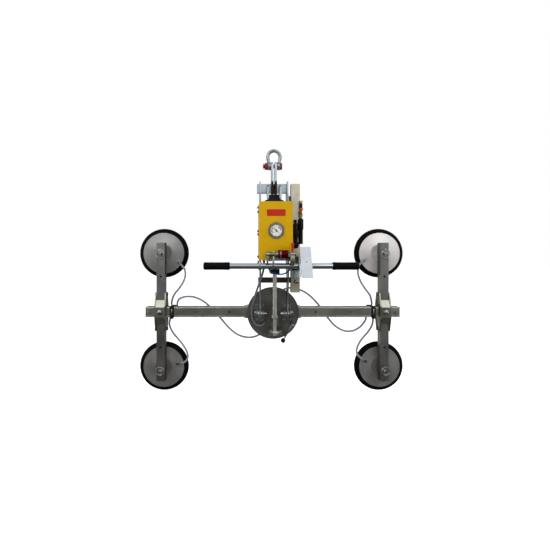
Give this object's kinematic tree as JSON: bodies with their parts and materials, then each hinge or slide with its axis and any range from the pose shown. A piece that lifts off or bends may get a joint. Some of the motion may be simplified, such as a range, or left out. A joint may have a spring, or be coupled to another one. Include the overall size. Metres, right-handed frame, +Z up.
{
  "type": "vacuum glass panel lifter",
  "caption": "Manual vacuum lifter for glass panels: bow shackle, stroke pump under a yellow cover, handlebar, and a turning, tilting cross frame with round suction pads.",
  "frame": {"origin": "the crane hook's seat: the inner top of the shackle bow", "axes": "+X along the beam to the operator's right, +Y from the operator to the suction side, +Z up"},
  "size_m": [1.645, 0.4716, 1.4465],
  "materials": {
    "galvanised_steel": "hot-dip galvanised, dull silver",
    "red_painted_steel": "dark red lacquer over steel",
    "zinc_plated_steel": "bright bluish zinc plating",
    "black_rubber": "matt moulded rubber",
    "machined_steel": "turned and honed steel",
    "yellow_paint": "traffic yellow powder coat, satin",
    "red_label": "plain red plate, satin",
    "black_steel": "black oxide",
    "gauge_steel": "nickel plated, slightly yellow",
    "black_enamel": "matt black",
    "yellow_zinc_steel": "yellow passivated zinc, dull",
    "brass": "bare brass fittings",
    "orange_plastic": "moulded orange plastic",
    "black_plastic": "moulded black plastic",
    "clear_plastic": "clear polycarbonate, slightly smoky",
    "nickel_fittings": "nickel plated brass fittings",
    "red_anodised": "dark red anodised aluminium, knurled",
    "red_lever_paint": "bright red plastic-coated lever",
    "handle_steel": "bright drawn tube",
    "pale_panel": "pale grey lacquer",
    "blue_hose": "blue polyurethane tube",
    "dark_frame_paint": "dark warm grey metallic lacquer",
    "frame_paint": "warm grey metallic lacquer",
    "bracket_steel": "zinc plated, slightly yellow",
    "braided_hose": "grey hose with fabric braid",
    "grey_plastic": "grey moulded plastic",
    "clamp_steel": "zinc plated, worn",
    "pad_plate": "pale grey lacquered aluminium",
    "chrome_steel": "bright plated"
  },
  "bodies": {
    "shackle": {"shackle_bow": "galvanised_steel", "shackle_pin": "red_painted_steel"},
    "drawbar": {"lift_bars": "zinc_plated_steel", "piston": "machined_steel"},
    "housing": {"side_plates": "zinc_plated_steel", "cross_tube": "zinc_plated_steel", "boot": "black_rubber", "pump_cylinder": "machined_steel", "cover": "yellow_paint", "label_plate": "red_label", "cover_bolts": "black_steel", "gauge": "gauge_steel", "vacuum_tank": "yellow_zinc_steel", "tank_brackets": "zinc_plated_steel", "manifold": "brass", "vacuum_filters": "black_plastic", "filter_bowl": "clear_plastic", "valve_row": "nickel_fittings", "handlebar": "handle_steel", "grips": "black_rubber", "slanted_plate": "pale_panel", "air_hoses": "blue_hose", "guide_block": "black_plastic", "supply_hose": "braided_hose"},
    "needle": {"gauge_needle": "black_enamel"},
    "button": {"release_button": "orange_plastic"},
    "valve_sleeve": {"slide_sleeve": "red_anodised"},
    "valve_lever": {"hand_lever": "red_lever_paint"},
    "drain": {"drain_knob": "brass"},
    "tilt_frame": {"disc": "dark_frame_paint", "tilt_brackets": "bracket_steel", "tilt_bolts": "chrome_steel"},
    "stay": {"stay_rod": "machined_steel"},
    "lock": {"lock_lever": "chrome_steel"},
    "rotor": {"outer_ring": "dark_frame_paint", "centre_sleeve": "frame_paint", "beam": "frame_paint", "end_stops": "zinc_plated_steel", "hose_distributor": "grey_plastic", "main_hose_left": "braided_hose", "main_hose_right": "braided_hose"},
    "column_left": {"clamp_left": "clamp_steel", "arms_left": "frame_paint", "strap_left": "black_plastic", "pad_stems_left": "zinc_plated_steel", "pad_hoses_left": "braided_hose"},
    "column_right": {"clamp_right": "clamp_steel", "arms_right": "frame_paint", "strap_right": "black_plastic", "pad_stems_right": "zinc_plated_steel", "pad_hoses_right": "braided_hose"},
    "pad_ul": {"pad_plate_ul": "pad_plate", "pad_seal_ul": "black_rubber"},
    "pad_bl": {"pad_plate_bl": "pad_plate", "pad_seal_bl": "black_rubber"},
    "pad_ur": {"pad_plate_ur": "pad_plate", "pad_seal_ur": "black_rubber"},
    "pad_br": {"pad_plate_br": "pad_plate", "pad_seal_br": "black_rubber"}
  },
  "joints": [
    {"name": "shackle_swing", "type": "hinge", "parent": "shackle", "child": "drawbar", "pos_m": [0, 0, -0.078], "axis": [1, 0, 0], "range_deg": [-45, 45]},
    {"name": "pump_stroke", "type": "slide", "parent": "drawbar", "child": "housing", "axis": [0, 0, 1], "range_m": [0, 0.07]},
    {"name": "needle_turn", "type": "hinge", "parent": "housing", "child": "needle", "pos_m": [0, -0.174, -0.453], "axis": [0, 1, 0], "range_deg": [-90, 180]},
    {"name": "button_press", "type": "slide", "parent": "housing", "child": "button", "axis": [0, 1, 0], "range_m": [0, 0.004], "stiffness_N_per_m": 600, "springref_m": -0.004},
    {"name": "sleeve_slide", "type": "slide", "parent": "housing", "child": "valve_sleeve", "axis": [1, 0, 0], "range_m": [-0.01, 0]},
    {"name": "lever_turn", "type": "hinge", "parent": "housing", "child": "valve_lever", "pos_m": [0.082, -0.195, -0.573], "axis": [1, 0, 0], "range_deg": [0, 60]},
    {"name": "drain_turn", "type": "hinge", "parent": "housing", "child": "drain", "pos_m": [0.126, -0.031, -0.733], "axis": [0, 0, 1], "range_deg": [0, 270]},
    {"name": "frame_tilt", "type": "hinge", "parent": "housing", "child": "tilt_frame", "pos_m": [0, 0.02, -0.919], "axis": [1, 0, 0], "range_deg": [-90, 0], "deforming": ["supply_hose"]},
    {"name": "stay_pivot", "type": "hinge", "parent": "tilt_frame", "child": "stay", "pos_m": [0, -0.06, -1.011], "axis": [1, 0, 0], "range_deg": [0, 90]},
    {"name": "lock_turn", "type": "hinge", "parent": "tilt_frame", "child": "lock", "pos_m": [0.115, 0.061, -0.983], "axis": [0, 1, 0], "range_deg": [-80, 0]},
    {"name": "frame_spin", "type": "hinge", "parent": "tilt_frame", "child": "rotor", "pos_m": [0, 0.093, -0.923], "axis": [0, 1, 0], "continuous": true},
    {"name": "column_left_slide", "type": "slide", "parent": "rotor", "child": "column_left", "axis": [1, 0, 0], "range_m": [0, 0.412], "deforming": ["main_hose_left"]},
    {"name": "column_right_slide", "type": "slide", "parent": "rotor", "child": "column_right", "axis": [-1, 0, 0], "range_m": [0, 0.412], "deforming": ["main_hose_right"]},
    {"name": "pad_ul_tilt", "type": "hinge", "parent": "column_left", "child": "pad_ul", "pos_m": [-0.67, 0.183, -0.571], "axis": [1, 0, 0], "range_deg": [-8, 8], "deforming": ["pad_hoses_left"]},
    {"name": "pad_bl_tilt", "type": "hinge", "parent": "column_left", "child": "pad_bl", "pos_m": [-0.67, 0.183, -1.275], "axis": [1, 0, 0], "range_deg": [-8, 8], "deforming": ["pad_hoses_left"]},
    {"name": "pad_ur_tilt", "type": "hinge", "parent": "column_right", "child": "pad_ur", "pos_m": [0.67, 0.183, -0.571], "axis": [1, 0, 0], "range_deg": [-8, 8], "deforming": ["pad_hoses_right"]},
    {"name": "pad_br_tilt", "type": "hinge", "parent": "column_right", "child": "pad_br", "pos_m": [0.67, 0.183, -1.275], "axis": [1, 0, 0], "range_deg": [-8, 8], "deforming": ["pad_hoses_right"]}
  ],
  "couplings": [
    {"joint": "stay_pivot", "follows": "frame_tilt", "ratio": -1}
  ]
}
